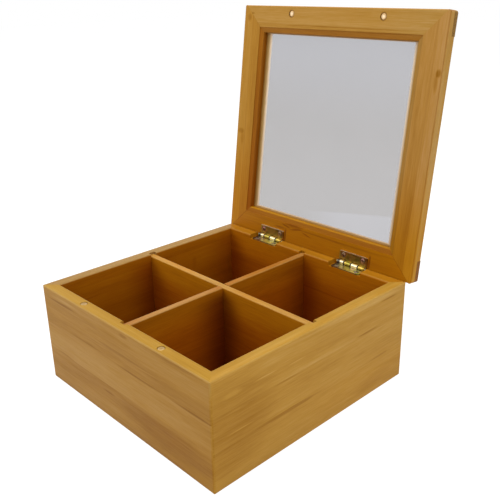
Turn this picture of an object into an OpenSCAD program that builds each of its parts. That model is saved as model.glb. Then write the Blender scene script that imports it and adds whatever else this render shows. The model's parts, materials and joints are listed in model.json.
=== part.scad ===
// Tea bag organizer box: four mitred walls, a crossed divider and a framed, windowed lid.
// The origin is the centre of the base, +Z up; the front wall faces -Y, the hinges are at +Y.
// The lid pieces are drawn shut and then swung open about the hinge pins.

/* [Box] */
// Outside width, left to right
box_w = 180; // [140:1:260]
// Outside depth, front to back
box_d = 180; // [140:1:260]
// Height of the walls
box_h = 74; // [55:1:110]
// Thickness of the wall boards
wall_t = 9; // [8:0.5:12]
// Thickness of the bottom panel
floor_t = 5; // [3:0.5:7]
// How far the bottom panel is let into the walls
floor_let_in = 4; // [2:0.5:5]
// Gap round the bottom panel
floor_gap = 0.2; // [0.1:0.05:0.5]
// Rounding of the walls' long edges
wall_edge_r = 1.2; // [0.5:0.1:2]
// Rounding of the box's upright corners
wall_corner_r = 1.5; // [0.5:0.1:3]

/* [Dividers] */
// Thickness of the divider boards
divider_t = 5; // [3:0.5:7]
// How far the dividers stop below the tops of the walls
divider_drop = 1.8; // [0.5:0.1:6]
// Depth of the grooves that hold the dividers' ends
groove_depth = 3; // [2:0.5:4]
// Clearance on each side of a divider in its groove or slot
divider_gap = 0.15; // [0.1:0.05:0.4]
// Rounding of the dividers' top edges
divider_edge_r = 0.8; // [0.3:0.1:1.2]

/* [Lid] */
// Thickness of the lid's frame
lid_t = 8; // [7.5:0.5:12]
// How far the lid stands past the box at each side
lid_overhang = 2.7; // [0:0.1:4]
// How far the shut lid stands past the front wall
lid_lip = 1; // [0:0.1:3]
// Gap between the shut lid and the walls
lid_seat_gap = 0.2; // [0.1:0.05:0.5]
// Width of the front and back rails, outer edge to window opening
rail_w = 20; // [18:0.5:30]
// Width of the two stiles, outer edge to window opening
stile_w = 22; // [18:0.5:30]
// Width of the sloping bead round the opening
bead_w = 4; // [2:0.5:6]
// Small step between the frame's face and the bead
bead_step = 0.4; // [0.2:0.1:0.8]
// How much the bead falls away towards the opening
bead_fall = 1; // [0.5:0.1:1.5]
// Rounding of the bead's inner edge
bead_r = 1; // [0.5:0.1:1.2]
// Rounding of the frame's long outer edges
lid_edge_r = 0.8; // [0.5:0.1:2]
// Rounding of the lid's corners
lid_corner_r = 2; // [1:0.5:4]
// Angle between the shut lid and the lid at its stop
lid_open = 97.3; // [92:0.1:110]

/* [Window] */
// Thickness of the pane
pane_t = 2; // [1.5:0.5:2.5]
// Depth of the pane below the frame's underside face
pane_depth = 4.8; // [4.2:0.1:5]
// How far the pane's edges reach into the frame
pane_let_in = 4; // [2:0.5:6]
// Clearance round the pane in its groove
pane_gap = 0.15; // [0.1:0.05:0.3]

/* [Hinges] */
// Distance between the middles of the two hinges
hinge_spread = 84; // [60:1:100]
// Length of a hinge along its pin
hinge_l = 25.5; // [20:0.5:32]
// Knuckles on one hinge, shared by its two leaves
knuckle_count = 4; // [3:1:5]
// Gap between neighbouring knuckles
knuckle_gap = 0.4; // [0.15:0.05:0.5]
// Outer diameter of the knuckles
barrel_d = 3.5; // [3:0.1:4]
// Clearance cut into the wood round the knuckles
barrel_room = 0.4; // [0.3:0.1:0.8]
// Thickness of a leaf
leaf_t = 0.9; // [0.6:0.1:1.1]
// How far the box leaf's edge stays back from the inside of the wall
leaf_setback = 0.2; // [0.1:0.1:1]
// Rounding of a leaf's free corners
leaf_corner_r = 1.2; // [0.5:0.1:3]
// Length of a mortise in the back wall past each end of its hinge
mortise_spare = 2.25; // [0.5:0.25:4]
// Thickness of the edge that closes a mortise at the back, past the ends of the barrel
mortise_lip = 1.2; // [0.8:0.1:2]
// Diameter of a hinge pin
pin_d = 1.6; // [1.2:0.1:1.8]
// Radial clearance between pin and knuckle
pin_fit = 0.05; // [0.02:0.01:0.1]
// Diameter of a pin's riveted ends
pin_head_d = 2.4; // [2.2:0.1:2.8]
// Thickness of a pin's riveted ends
pin_head_t = 0.5; // [0.3:0.1:1]
// Thickness of the lug that stops the lid
stop_t = 1; // [0.6:0.1:1.4]
// How far the stop lug reaches from the pin
stop_reach = 3.6; // [3.2:0.1:5]
// Gap between the stop lug and the back wall at the stop
stop_gap = 0.05; // [0.02:0.01:0.1]

/* [Screws] */
// Diameter of a screw's shank
screw_d = 2; // [1.6:0.1:2.4]
// Diameter of a screw's head
screw_head_d = 4; // [3.6:0.1:4.6]
// Height of the dome on a screw's head
screw_dome = 0.45; // [0.2:0.05:0.6]
// Distance between the two screws of a leaf
screw_spacing = 18; // [12:0.5:20]
// Distance of the screws from a leaf's free edge
screw_edge = 3.1; // [2.6:0.1:3.4]
// Length of the screws in the back wall
wall_screw_l = 10; // [6:0.5:16]
// Length of the screws in the lid
lid_screw_l = 6; // [4:0.5:7]
// Clearance round a screw
screw_fit = 0.05; // [0.02:0.01:0.15]
// Length of the cross recess from the tip of one arm to the next but one
recess_l = 2.4; // [1.8:0.1:3]
// Width of the arms of the cross recess
recess_w = 0.5; // [0.3:0.1:0.7]
// Depth of the cross recess
recess_depth = 0.7; // [0.4:0.1:0.9]

/* [Magnets] */
// Diameter of the closing magnets
magnet_d = 4.6; // [3:0.1:5.5]
// Thickness of the closing magnets
magnet_t = 2.5; // [1.5:0.5:4]
// Distance between the left and right magnets
magnet_spread = 84; // [60:1:110]
// Gap between a magnet and its hole
magnet_gap = 0.2; // [0.05:0.05:0.3]
// How far a magnet is sunk below the wood
magnet_sink = 0.15; // [0.05:0.05:0.5]
// Rounding of a magnet's rim
magnet_rim_r = 0.5; // [0.2:0.1:0.8]

/* [Hidden] */
$fn = 48;

LEFT = -1;
RIGHT = 1;
UP = 1;
DOWN = -1;
// Cutters run this far past the faces that they cut
past = 1;
// Length of stock that every wall and frame member is cut from
run_length = 2 * max(box_w, box_d);

wood_colour = "#c48f45";
pale_wood_colour = "#d2a25c";
pane_colour = [0.72, 0.73, 0.75, 0.5];
magnet_colour = "#b9b4aa";
hinge_colour = "#b5a050";

// Box
inner_w = box_w - 2 * wall_t;
inner_d = box_d - 2 * wall_t;
floor_side_clear = floor_let_in - floor_gap;

// Dividers
divider_top = box_h - divider_drop;
divider_mid = (floor_t + divider_top) / 2;
divider_slot = divider_t + 2 * divider_gap;
divider_seat = groove_depth - divider_gap;

// Hinge axis: in the plane of the back face, with the barrel just under the shut lid
barrel_r = barrel_d / 2;
lid_z = box_h + lid_seat_gap;
axis_y = box_d / 2;
axis_z = lid_z - barrel_r;
leaf_reach = wall_t - leaf_setback;
mortise_l = hinge_l + 2 * mortise_spare;
mortise_z = axis_z - barrel_r;
barrel_l = hinge_l + 2 * (pin_fit + pin_head_t + barrel_room);
knuckle_pitch = hinge_l / knuckle_count;
screw_y = leaf_reach - screw_edge;
screw_r = screw_d / 2;
screw_head_r = screw_head_d / 2;
screw_cone_h = min(leaf_t, screw_head_r - screw_r);

// Lid, shut
lid_w = box_w + 2 * lid_overhang;
lid_d = box_d + lid_lip;
lap_z = lid_t / 2;
opening_w = lid_w - 2 * stile_w;
opening_d = lid_d - 2 * rail_w;
magnet_y = -box_d / 2 + wall_t / 2;
magnet_hole_depth = magnet_t + magnet_sink;

// Bead section, across from its start: a slope that ends in a rounding tangent to it and to the
// opening's wall
bead_slope = bead_fall / bead_w;
bead_normal = sqrt(1 + bead_slope * bead_slope);
bead_arc_u = bead_w - bead_r;
bead_arc_v = bead_step + bead_slope * bead_arc_u + bead_r * bead_normal;
bead_touch_u = bead_arc_u + bead_r * bead_slope / bead_normal;
bead_touch_v = bead_arc_v - bead_r / bead_normal;

// ---- plain shapes ----

// Rectangle from its lower left corner, with all corners rounded
module soft_rect(size, r) {
  translate([r, 0]) square([size[0] - 2 * r, size[1]]);
  translate([0, r]) square([size[0], size[1] - 2 * r]);
  for (x = [r, size[0] - r], y = [r, size[1] - r]) translate([x, y]) circle(r);
}

// Upright prism on a rounded rectangle, centred on the Z axis
module soft_block(w, d, h, r) {
  translate([-w / 2, -d / 2, 0]) linear_extrude(h) soft_rect([w, d], r);
}

// Box centred in X and Y, from z = low to z = high
module slab(w, d, low, high) {
  translate([-w / 2, -d / 2, low]) cube([w, d, high - low]);
}

// A section, drawn as across-and-up, run along X with its outer edge at y = -d / 2
module run_front(d) {
  translate([0, -d / 2, 0]) rotate([90, 0, 90]) linear_extrude(run_length, center = true) children();
}

// Turns a front board into a left one
module to_left() {
  rotate([0, 0, -90]) children();
}

// The space of a front board, t wide, that is mitred at both ends against boards that are
// side_t wide, in a frame of w by d
module mitre_space(w, d, t, side_t, low, high) {
  outer = w / 2 - side_t + t;
  inner = w / 2 - side_t;
  translate([0, 0, low]) linear_extrude(high - low)
    polygon([[-outer, -d / 2], [outer, -d / 2], [inner, -d / 2 + t], [-inner, -d / 2 + t]]);
}

// ---- box ----

// Front wall of a box of w by d, before its grooves and holes
module plain_wall(w, d) {
  difference() {
    intersection() {
      run_front(d) soft_rect([wall_t, box_h], wall_edge_r);
      mitre_space(w, d, wall_t, wall_t, 0, box_h);
      soft_block(w, d, box_h, wall_corner_r);
    }
    // rebate for the bottom panel
    slab(w - 2 * (wall_t - floor_let_in), d - 2 * (wall_t - floor_let_in), -past, floor_t);
    // open-topped groove for a divider's end
    translate([-divider_slot / 2, -d / 2 + wall_t - groove_depth, floor_t])
      cube([divider_slot, groove_depth + past, box_h]);
  }
}

module front_wall() color(wood_colour) difference() {
  plain_wall(box_w, box_d);
  for (side = [LEFT, RIGHT]) translate([side * magnet_spread / 2, magnet_y, box_h - magnet_hole_depth])
    cylinder(h = magnet_hole_depth + past, d = magnet_d + 2 * magnet_gap);
}

module left_wall() color(wood_colour) to_left() plain_wall(box_d, box_w);

module right_wall() color(wood_colour) mirror([1, 0, 0]) left_wall();

module back_wall() color(wood_colour) difference() {
  mirror([0, 1, 0]) plain_wall(box_w, box_d);
  for (side = [LEFT, RIGHT]) at_hinge(side) {
    // mortise, open at the top and inside, and open at the back as far as the barrel goes
    translate([-mortise_l / 2, -wall_t - past, mortise_z - axis_z])
      cube([mortise_l, wall_t + past - mortise_lip, barrel_d + past]);
    translate([-barrel_l / 2, -wall_t - past, mortise_z - axis_z])
      cube([barrel_l, wall_t + 2 * past, barrel_d + past]);
    barrel_cove();
    screw_holes(wall_screw_l, DOWN);
  }
}

module bottom_panel() color(pale_wood_colour)
  slab(inner_w + 2 * floor_side_clear, inner_d + 2 * floor_side_clear, 0, floor_t);

// ---- dividers ----

// Divider that runs along X between walls whose inner faces are span apart
module plain_divider(span) {
  length = span + 2 * divider_seat;
  height = divider_top - floor_t;
  difference() {
    translate([-length / 2, -divider_t / 2, floor_t]) rotate([90, 0, 90]) linear_extrude(length) {
      soft_rect([divider_t, height], divider_edge_r);
      square([divider_t, height / 2]);
    }
    children();
  }
}

module long_divider() color(pale_wood_colour)
  plain_divider(inner_w)
    slab(divider_slot, divider_slot, floor_t - past, divider_mid + divider_gap);

module cross_divider() color(pale_wood_colour)
  rotate([0, 0, 90]) plain_divider(inner_d)
    slab(divider_slot, divider_slot, divider_mid - divider_gap, divider_top + past);

// ---- lid ----

// Everything of the lid is drawn shut and swung open about the hinge axis
module swung_open() {
  translate([0, axis_y, axis_z]) rotate([-lid_open, 0, 0]) translate([0, -axis_y, -axis_z]) children();
}

// Section of a frame member that is t wide: across from the outer edge, up from the underside
module frame_section(t) {
  difference() {
    union() {
      soft_rect([t, lid_t], lid_edge_r);
      // the inner edge is square apart from the bead
      translate([t - bead_w, 0]) square([bead_w, lid_t]);
    }
    translate([t - bead_w, 0]) difference() {
      translate([0, -past]) square([bead_w + past, bead_arc_v + past]);
      bead_section();
    }
  }
}

// The part of the section that is kept beside the opening, across from the bead's start
module bead_section() {
  polygon([
    [0, bead_step], [bead_touch_u, bead_touch_v], [bead_arc_u, bead_arc_v],
    [bead_w, bead_arc_v], [bead_w, bead_arc_v + past], [0, bead_arc_v + past]
  ]);
  translate([bead_arc_u, bead_arc_v]) circle(bead_r);
}

// The lid's frame is drawn about its own middle, and this puts it flush with the back wall
module flush_at_back() {
  translate([0, -lid_lip / 2, 0]) children();
}

// Groove all round the opening for the pane
module pane_pocket() {
  slab(opening_w + 2 * pane_let_in, opening_d + 2 * pane_let_in,
    lid_z + pane_depth - pane_gap, lid_z + pane_depth + pane_t + pane_gap);
}

// Space of a front member's outer half, t wide between members that are side_t wide: one that
// runs through keeps only its flat at both ends, and one that doesn't stops against it
module lap_space(w, d, t, side_t, through) {
  translate([0, 0, lid_z + lap_z]) linear_extrude(lid_t - lap_z) {
    square([w - 2 * (through ? side_t : side_t - bead_w), d], center = true);
    if (through) translate([-w / 2, -d / 2]) square([w, t - bead_w]);
  }
}

// Front member of a frame of w by d, t wide between members that are side_t wide: mitred in the
// half next to the box and lapped in the other
module frame_member(w, d, t, side_t, through) {
  difference() {
    intersection() {
      translate([0, 0, lid_z]) run_front(d) frame_section(t);
      soft_block(w, d, lid_z + lid_t, lid_corner_r);
      union() {
        mitre_space(w, d, t, side_t, lid_z, lid_z + lap_z);
        lap_space(w, d, t, side_t, through);
      }
    }
    children();
  }
}

module plain_rail() frame_member(lid_w, lid_d, rail_w, stile_w, true) pane_pocket();

module lid_front_rail() color(wood_colour) swung_open() difference() {
  flush_at_back() plain_rail();
  for (side = [LEFT, RIGHT]) translate([side * magnet_spread / 2, magnet_y, lid_z - past])
    cylinder(h = magnet_hole_depth + past, d = magnet_d + 2 * magnet_gap);
}

module lid_back_rail() color(wood_colour) swung_open() difference() {
  flush_at_back() mirror([0, 1, 0]) plain_rail();
  for (side = [LEFT, RIGHT]) at_hinge(side) {
    barrel_cove();
    screw_holes(lid_screw_l, UP);
  }
}

module plain_left_stile() flush_at_back() difference() {
  to_left() frame_member(lid_d, lid_w, stile_w, rail_w, false);
  pane_pocket();
}

module lid_left_stile() color(wood_colour) swung_open() plain_left_stile();

module lid_right_stile() color(wood_colour) swung_open() mirror([1, 0, 0]) plain_left_stile();

module window_pane() color(pane_colour) swung_open() flush_at_back()
  slab(opening_w + 2 * (pane_let_in - pane_gap), opening_d + 2 * (pane_let_in - pane_gap),
    lid_z + pane_depth, lid_z + pane_depth + pane_t);

// ---- magnets ----

// Disc magnet with its face upwards, the face at z = 0
module magnet() {
  rotate_extrude() {
    translate([0, -magnet_t]) square([magnet_d / 2, magnet_t - magnet_rim_r]);
    translate([0, -magnet_rim_r]) square([magnet_d / 2 - magnet_rim_r, magnet_rim_r]);
    intersection() {
      translate([magnet_d / 2 - magnet_rim_r, -magnet_rim_r]) circle(magnet_rim_r);
      translate([0, -magnet_t]) square([magnet_d, magnet_t]);
    }
  }
}

module box_magnet(side) color(magnet_colour)
  translate([side * magnet_spread / 2, magnet_y, box_h - magnet_sink]) magnet();

module lid_magnet(side) color(magnet_colour) swung_open()
  translate([side * magnet_spread / 2, magnet_y, lid_z + magnet_sink]) mirror([0, 0, 1]) magnet();

// ---- hinges ----

// Puts a hinge in its place: X along the pin, -Y over the wall, Z up, the axis at the origin
module at_hinge(side) {
  translate([side * hinge_spread / 2, axis_y, axis_z]) children();
}

// Room for the barrel in the wood beside it
module barrel_cove() {
  along_pin(-barrel_l / 2, barrel_l, barrel_r + barrel_room);
}

// Cylinder along the pin
module along_pin(start, length, r) {
  translate([start, 0, 0]) rotate([0, 90, 0]) cylinder(h = length, r = r);
}

// Knuckles of one leaf: every second one, counted from first
module knuckles(first) {
  for (i = [first : 2 : knuckle_count - 1])
    along_pin(knuckle_start(i), knuckle_pitch - knuckle_gap, barrel_r);
}

function knuckle_start(i) = -hinge_l / 2 + i * knuckle_pitch + knuckle_gap / 2;

// Plan of a leaf: rounded free corners, and a tab to each of its own knuckles
module leaf_plan(first) {
  plate_end = barrel_r + barrel_room;
  translate([-hinge_l / 2, -leaf_reach]) {
    translate([0, leaf_corner_r]) square([hinge_l, leaf_reach - leaf_corner_r - plate_end]);
    translate([leaf_corner_r, 0]) square([hinge_l - 2 * leaf_corner_r, leaf_corner_r]);
    for (x = [leaf_corner_r, hinge_l - leaf_corner_r]) translate([x, leaf_corner_r]) circle(leaf_corner_r);
  }
  for (i = [first : 2 : knuckle_count - 1])
    translate([knuckle_start(i), -plate_end]) square([knuckle_pitch - knuckle_gap, plate_end]);
}

// Places of the two screws of a leaf
module at_screws() {
  for (side = [LEFT, RIGHT]) translate([side * screw_spacing / 2, -screw_y, 0]) children();
}

// Leaf that lies on the wood below it, with its knuckles and countersunk holes
module leaf(first) {
  difference() {
    union() {
      translate([0, 0, -barrel_r]) linear_extrude(leaf_t) leaf_plan(first);
      knuckles(first);
    }
    along_pin(-hinge_l, 2 * hinge_l, pin_d / 2 + pin_fit);
    at_screws() translate([0, 0, -barrel_r]) {
      translate([0, 0, -past]) cylinder(h = leaf_t + 2 * past, r = screw_r + screw_fit);
      translate([0, 0, leaf_t - screw_cone_h])
        cylinder(h = screw_cone_h, r1 = screw_r + screw_fit, r2 = screw_head_r + screw_fit);
    }
  }
}

// Lugs on the lid's knuckles that meet the back wall when the lid reaches its stop
module stop_lugs(first) {
  inner_reach = pin_d / 2 + 2 * pin_fit;
  rotate([lid_open, 0, 0]) for (i = [first : 2 : knuckle_count - 1])
    translate([knuckle_start(i), stop_gap, -stop_reach])
      cube([knuckle_pitch - knuckle_gap, stop_t, stop_reach - inner_reach]);
}

module hinge_box_leaf(side) color(hinge_colour) at_hinge(side) leaf(0);

module hinge_lid_leaf(side) color(hinge_colour) swung_open() at_hinge(side) {
  mirror([0, 0, 1]) leaf(1);
  stop_lugs(1);
}

module hinge_pin(side) color(hinge_colour) at_hinge(side) {
  head_start = hinge_l / 2 + pin_fit;
  along_pin(-head_start, 2 * head_start, pin_d / 2);
  for (end = [-head_start - pin_head_t, head_start]) along_pin(end, pin_head_t, pin_head_d / 2);
}

// ---- screws ----

// Countersunk screw with a domed head; the head's rim is at z = 0 and the tip points down
module screw(length) {
  dome_r = (screw_head_r * screw_head_r + screw_dome * screw_dome) / (2 * screw_dome);
  tip_z = -length;
  difference() {
    rotate_extrude() {
      polygon([[0, 0], [screw_head_r, 0], [screw_r, -screw_cone_h], [screw_r, tip_z + screw_d], [0, tip_z]]);
      intersection() {
        translate([0, screw_dome - dome_r]) circle(dome_r);
        square([screw_head_r, screw_dome]);
      }
    }
    for (turn = [0, 90]) rotate([0, 0, turn])
      slab(recess_l, recess_w, screw_dome - recess_depth, screw_dome + past);
  }
}

// Holes in the wood for the screws of a leaf that lies on it
module screw_holes(length, way) {
  facing(way) at_screws() translate([0, 0, barrel_r - past])
    cylinder(h = length - leaf_t + screw_fit + past, r = screw_r + screw_fit);
}

// Turns a hinge detail that points up so that it points the way given
module facing(way) {
  mirror([0, 0, way == UP ? 0 : 1]) children();
}

module hinge_box_screws(side) color(hinge_colour) at_hinge(side)
  at_screws() translate([0, 0, leaf_t - barrel_r]) screw(wall_screw_l);

module hinge_lid_screws(side) color(hinge_colour) swung_open() at_hinge(side) mirror([0, 0, 1])
  at_screws() translate([0, 0, leaf_t - barrel_r]) screw(lid_screw_l);

front_wall();
back_wall();
left_wall();
right_wall();
bottom_panel();
long_divider();
cross_divider();
box_magnet(LEFT);  // box_magnet_left
box_magnet(RIGHT);  // box_magnet_right
lid_front_rail();
lid_back_rail();
lid_left_stile();
lid_right_stile();
window_pane();
lid_magnet(LEFT);  // lid_magnet_left
lid_magnet(RIGHT);  // lid_magnet_right
hinge_box_leaf(LEFT);  // hinge_left_box_leaf
hinge_lid_leaf(LEFT);  // hinge_left_lid_leaf
hinge_pin(LEFT);  // hinge_left_pin
hinge_box_leaf(RIGHT);  // hinge_right_box_leaf
hinge_lid_leaf(RIGHT);  // hinge_right_lid_leaf
hinge_pin(RIGHT);  // hinge_right_pin
hinge_box_screws(LEFT);  // hinge_left_box_screws
hinge_lid_screws(LEFT);  // hinge_left_lid_screws
hinge_box_screws(RIGHT);  // hinge_right_box_screws
hinge_lid_screws(RIGHT);  // hinge_right_lid_screws
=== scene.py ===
"""Looks of a bamboo tea bag box: four boards, crossed dividers and a windowed lid on two hinges.

Everything is in metres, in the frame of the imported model: +X to the right, the hinges at +Y, +Z up.
Patterns on the wood are laid out in millimetres, because that is how a board is marked out.
"""

import json
import logging
import math
from dataclasses import dataclass, field
from enum import Enum

import bmesh
import bpy
from mathutils import Matrix, Vector


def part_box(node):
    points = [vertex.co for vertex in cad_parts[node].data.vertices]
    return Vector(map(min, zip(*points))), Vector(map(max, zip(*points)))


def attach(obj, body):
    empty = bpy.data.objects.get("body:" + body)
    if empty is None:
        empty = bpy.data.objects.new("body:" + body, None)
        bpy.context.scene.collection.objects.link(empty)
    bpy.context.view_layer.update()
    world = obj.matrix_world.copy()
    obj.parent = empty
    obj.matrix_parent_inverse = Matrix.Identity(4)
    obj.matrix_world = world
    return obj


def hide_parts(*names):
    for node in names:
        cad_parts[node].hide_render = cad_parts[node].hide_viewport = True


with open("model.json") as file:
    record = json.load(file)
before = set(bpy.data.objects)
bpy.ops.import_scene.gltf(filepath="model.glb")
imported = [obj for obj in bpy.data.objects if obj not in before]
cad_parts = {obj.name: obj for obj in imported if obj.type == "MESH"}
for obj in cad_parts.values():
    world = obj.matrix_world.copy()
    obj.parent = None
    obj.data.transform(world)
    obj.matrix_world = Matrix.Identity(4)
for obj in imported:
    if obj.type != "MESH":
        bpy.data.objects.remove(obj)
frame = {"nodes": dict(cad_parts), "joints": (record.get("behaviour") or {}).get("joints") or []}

LOG = logging.getLogger("tea_box")
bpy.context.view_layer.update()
MM = 0.001
CREASE_DEG = 20.0
NOISE_MIDDLE = 0.5
NOISE_GAIN = 2.6

Colour = tuple[float, float, float]
Material = bpy.types.Material
Shape = bmesh.types.BMesh


def paint(*levels: int) -> Colour:
    """Turns a colour as a screen shows it into the values that light is worked out with.

    Args:
        levels: Red, green and blue, 0 to 255.

    Returns:
        The colour as three linear numbers.
    """
    shares = [level / 255 for level in levels]
    return tuple(share / 12.92 if share <= 0.04045 else ((share + 0.055) / 1.055) ** 2.4 for share in shares)


@dataclass(frozen=True)
class Hinging:
    """The turn between the lid as it stands open and the lid shut."""

    axis: Vector
    angle: float

    @classmethod
    def from_frame(cls) -> "Hinging":
        """Reads the lid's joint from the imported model."""
        joint = frame["joints"][0]
        return cls(Vector(joint["pos_m"]), math.radians(joint["range_deg"][1]))

    def shut(self, point: Vector) -> Vector:
        """Where a point of the open lid lies once the lid is shut."""
        return self.axis + Matrix.Rotation(self.angle, 3, "X") @ (point - self.axis)

    def turn(self, way: int) -> Matrix:
        """The turn about the pin's axis as the origin: 1 shuts the lid, -1 opens it."""
        return Matrix.Rotation(way * self.angle, 4, "X")


# ---- shader sums ----


@dataclass(frozen=True)
class Flow:
    """A value on its way through a material's nodes, for use in plain sums."""

    bench: "Bench"
    socket: bpy.types.NodeSocket

    def __add__(self, other: "Flow | float") -> "Flow":
        """This plus other."""
        return self.bench.math("ADD", self, other)

    __radd__ = __add__

    def __sub__(self, other: "Flow | float") -> "Flow":
        """This less other."""
        return self.bench.math("SUBTRACT", self, other)

    def __rsub__(self, other: float) -> "Flow":
        """A number less this."""
        return self.bench.math("SUBTRACT", other, self)

    def __mul__(self, other: "Flow | float") -> "Flow":
        """This times other."""
        return self.bench.math("MULTIPLY", self, other)

    __rmul__ = __mul__

    def __truediv__(self, other: "Flow | float") -> "Flow":
        """This over other."""
        return self.bench.math("DIVIDE", self, other)

    def __abs__(self) -> "Flow":
        """This without its sign."""
        return self.bench.math("ABSOLUTE", self)

    def clamped(self) -> "Flow":
        """This, kept between 0 and 1."""
        return self.bench.math("ADD", self, 0.0, clamp=True)

    def rise(self, low: float, high: float) -> "Flow":
        """A smooth step from 0 at low to 1 at high; where high is below low, it falls."""
        return self.bench.node(
            "MapRange", {"Value": self, "From Min": low, "From Max": high}, interpolation_type="SMOOTHSTEP"
        )

    def hypot(self, other: "Flow") -> "Flow":
        """How far the point with this and other as its coordinates is from the origin."""
        return self.bench.math("SQRT", self * self + other * other)

    def axes(self) -> dict[str, "Flow"]:
        """This place, or normal, taken apart into its three axes."""
        return {axis: self.bench.node("SeparateXYZ", {0: self}, axis) for axis in "XYZ"}

    def noise(
        self, size: float | tuple, shift: Vector, detail: float = 2.0, roughness: float = 0.5
    ) -> "Flow":
        """Soft noise at this place.

        Args:
            size: How large its features are, along each axis or along all three.
            shift: How far the pattern is moved, in features.
            detail: Number of finer layers.
            roughness: How strong the finer layers are.

        Returns:
            The noise, about -1 to 1.
        """
        sizes = size if isinstance(size, tuple) else (size,) * 3
        per_feature = Vector([1 / length for length in sizes])
        scaled = self.bench.node("VectorMath", {0: self, 1: per_feature}, operation="MULTIPLY")
        moved = self.bench.node("VectorMath", {0: scaled, 1: shift}, operation="ADD")
        sockets = {"Vector": moved, "Scale": 1.0, "Detail": detail, "Roughness": roughness}
        return (self.bench.node("TexNoise", sockets) - NOISE_MIDDLE) * NOISE_GAIN


class Bench:
    """The work bench on which the nodes of one material, or of the world, are laid out."""

    def __init__(self, owner: Material | bpy.types.World) -> None:
        """Starts with no nodes.

        Args:
            owner: The material or world that gets the nodes.
        """
        owner.use_nodes = True
        self.owner = owner
        self.tree = owner.node_tree
        self.tree.nodes.clear()

    @classmethod
    def for_material(cls, name: str) -> "Bench":
        """Starts a new material of this name."""
        return cls(bpy.data.materials.new(name))

    def node(self, kind: str, sockets: dict | None = None, out: int | str = 0, **settings: object) -> Flow:
        """Adds one node.

        Args:
            kind: The node's type, without the word that all of them start with.
            sockets: What goes into its sockets: values or flows, by name or number.
            out: The output that is wanted.
            settings: The node's own settings; stops is a list of (place, colour) for a ramp.

        Returns:
            The wanted output.
        """
        made = self.tree.nodes.new("ShaderNode" + kind)
        for key, value in settings.items():
            if key == "stops":
                self._fill_ramp(made.color_ramp, value)
            else:
                setattr(made, key, value)
        for key, value in (sockets or {}).items():
            socket = made.inputs[key]
            if isinstance(value, Flow):
                self.tree.links.new(value.socket, socket)
            else:
                socket.default_value = (*value, 1.0) if socket.type == "RGBA" else value
        return Flow(self, made.outputs[out])

    @staticmethod
    def _fill_ramp(ramp: bpy.types.ColorRamp, stops: list[tuple[float, Colour]]) -> None:
        """Gives a ramp its stops.

        Args:
            ramp: The ramp.
            stops: Place and colour of each stop, from left to right.
        """
        while len(ramp.elements) < len(stops):
            ramp.elements.new(1.0)
        for element, (place, colour) in zip(ramp.elements, stops):
            element.position = place
            element.color = (*colour, 1.0)

    def math(self, operation: str, *inputs: Flow | float, clamp: bool = False) -> Flow:
        """The result of a Math node; clamp keeps it between 0 and 1."""
        return self.node("Math", dict(enumerate(inputs)), operation=operation, use_clamp=clamp)

    def place(self, on_lid: bool = False) -> Flow:
        """The place on a piece in millimetres, as if the lid were shut.

        Args:
            on_lid: Whether the piece moves with the lid.

        Returns:
            The place.
        """
        per_mm = 1 / MM
        settings = {"Vector": self.node("TexCoord", out="Object"), "Scale": (per_mm, per_mm, per_mm)}
        if on_lid:
            hinging = Hinging.from_frame()
            settings["Rotation"] = (hinging.angle, 0, 0)
            settings["Location"] = hinging.shut(Vector()) * per_mm
        return self.node("Mapping", settings)

    def blend(
        self, share: Flow | float, first: Flow | Colour, second: Flow | Colour, way: str = "MIX"
    ) -> Flow:
        """This share of the second colour mixed into the first; way is the Mix node's blend type."""
        return self.node("Mix", {0: share, 6: first, 7: second}, 2, data_type="RGBA", blend_type=way)

    def skin(
        self, look: dict[str, Flow | float], height: Flow, depth: float = 0.02 * MM, strength: float = 0.3
    ) -> Material:
        """Ends the nodes with a skin: its sockets by name, and its relief's height, depth and strength."""
        bump = self.node("Bump", {"Height": height, "Strength": strength, "Distance": depth}, "Normal")
        return self.surface(self.node("BsdfPrincipled", {**look, "Normal": bump}))

    def surface(self, shader: Flow) -> Material | bpy.types.World:
        """Ends the nodes with this shader.

        Args:
            shader: The finished shader.

        Returns:
            The material or world.
        """
        kind = "Material" if isinstance(self.owner, Material) else "World"
        output = self.tree.nodes.new("ShaderNodeOutput" + kind)
        self.tree.links.new(shader.socket, output.inputs["Surface"])
        return self.owner


def dress(name: str, material: Material) -> None:
    """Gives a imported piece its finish.

    Args:
        name: The piece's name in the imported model.
        material: Its finish.
    """
    piece = frame["nodes"][name]
    piece.data.materials.clear()
    piece.data.materials.append(material)
    LOG.info("dressed %s in %s", name, material.name)


def rounded(shape: Shape, parts: list, width: float, **how: object) -> None:
    """Rounds edges of a shape, or corners of an outline, up to width; how changes the bevel's settings."""
    usual = {"offset_type": "OFFSET", "segments": 2, "profile": 0.5, "affect": "EDGES", "material": -1}
    bmesh.ops.bevel(shape, geom=parts, offset=width, **(usual | how))


def replace(node: str, shape: Shape, material: Material, body: str) -> None:
    """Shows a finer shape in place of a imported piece.

    Args:
        node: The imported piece, whose name the finer one takes.
        shape: The finer shape, in its place; it is used up.
        material: Its finish.
        body: The body that it moves with.
    """
    mesh = bpy.data.meshes.new(node + "_fine")
    shape.to_mesh(mesh)
    shape.free()
    mesh.shade_smooth()
    mesh.set_sharp_from_angle(angle=math.radians(CREASE_DEG))
    mesh.materials.append(material)
    piece = bpy.data.objects.new(node + "_fine", mesh)
    bpy.context.scene.collection.objects.link(piece)
    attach(piece, body)
    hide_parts(node)
    LOG.info("%s has %d faces in place of %s", piece.name, len(mesh.polygons), node)


# ---- finishes ----


class Grain(Enum):
    """How a board lies: its length, width and thickness directions, in the shut box."""

    SIDEWAYS_UPRIGHT = ("X", "Z", "Y")
    LENGTHWAYS_UPRIGHT = ("Y", "Z", "X")
    SIDEWAYS_FLAT = ("X", "Y", "Z")
    LENGTHWAYS_FLAT = ("Y", "X", "Z")


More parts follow.
